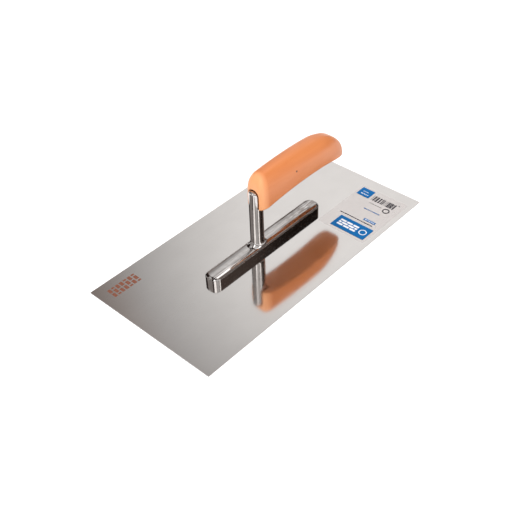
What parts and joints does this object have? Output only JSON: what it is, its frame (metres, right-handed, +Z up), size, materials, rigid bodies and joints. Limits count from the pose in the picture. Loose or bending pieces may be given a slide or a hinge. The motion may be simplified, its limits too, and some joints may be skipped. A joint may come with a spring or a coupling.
{
  "type": "finishing trowel",
  "caption": "Finishing trowel with a thin flat rectangular steel blade, a chromed mounting bar and shank, and an open wooden handle.",
  "frame": {"origin": "middle of the blade's working face, which is the underside", "axes": "+X along the blade's length, from the handle's nose end towards its tail end; +Y across the blade; +Z up from the working face through the handle"},
  "size_m": [0.3, 0.15, 0.087],
  "materials": {
    "blade_steel": "finely polished, slightly hazy mirror",
    "chrome": "bright plated, lightly rippled",
    "beech": "satin varnish",
    "plain_steel": "ground flush, dull",
    "label_film": "clear printed film"
  },
  "bodies": {
    "root": {"blade": "blade_steel", "mounting_bar": "chrome", "shank": "chrome", "handle": "beech", "tang_pin": "plain_steel", "label": "label_film", "rivet_1": "plain_steel", "rivet_2": "plain_steel", "rivet_3": "plain_steel", "rivet_4": "plain_steel", "rivet_5": "plain_steel", "rivet_6": "plain_steel", "rivet_7": "plain_steel", "rivet_8": "plain_steel"}
  },
  "joints": []
}
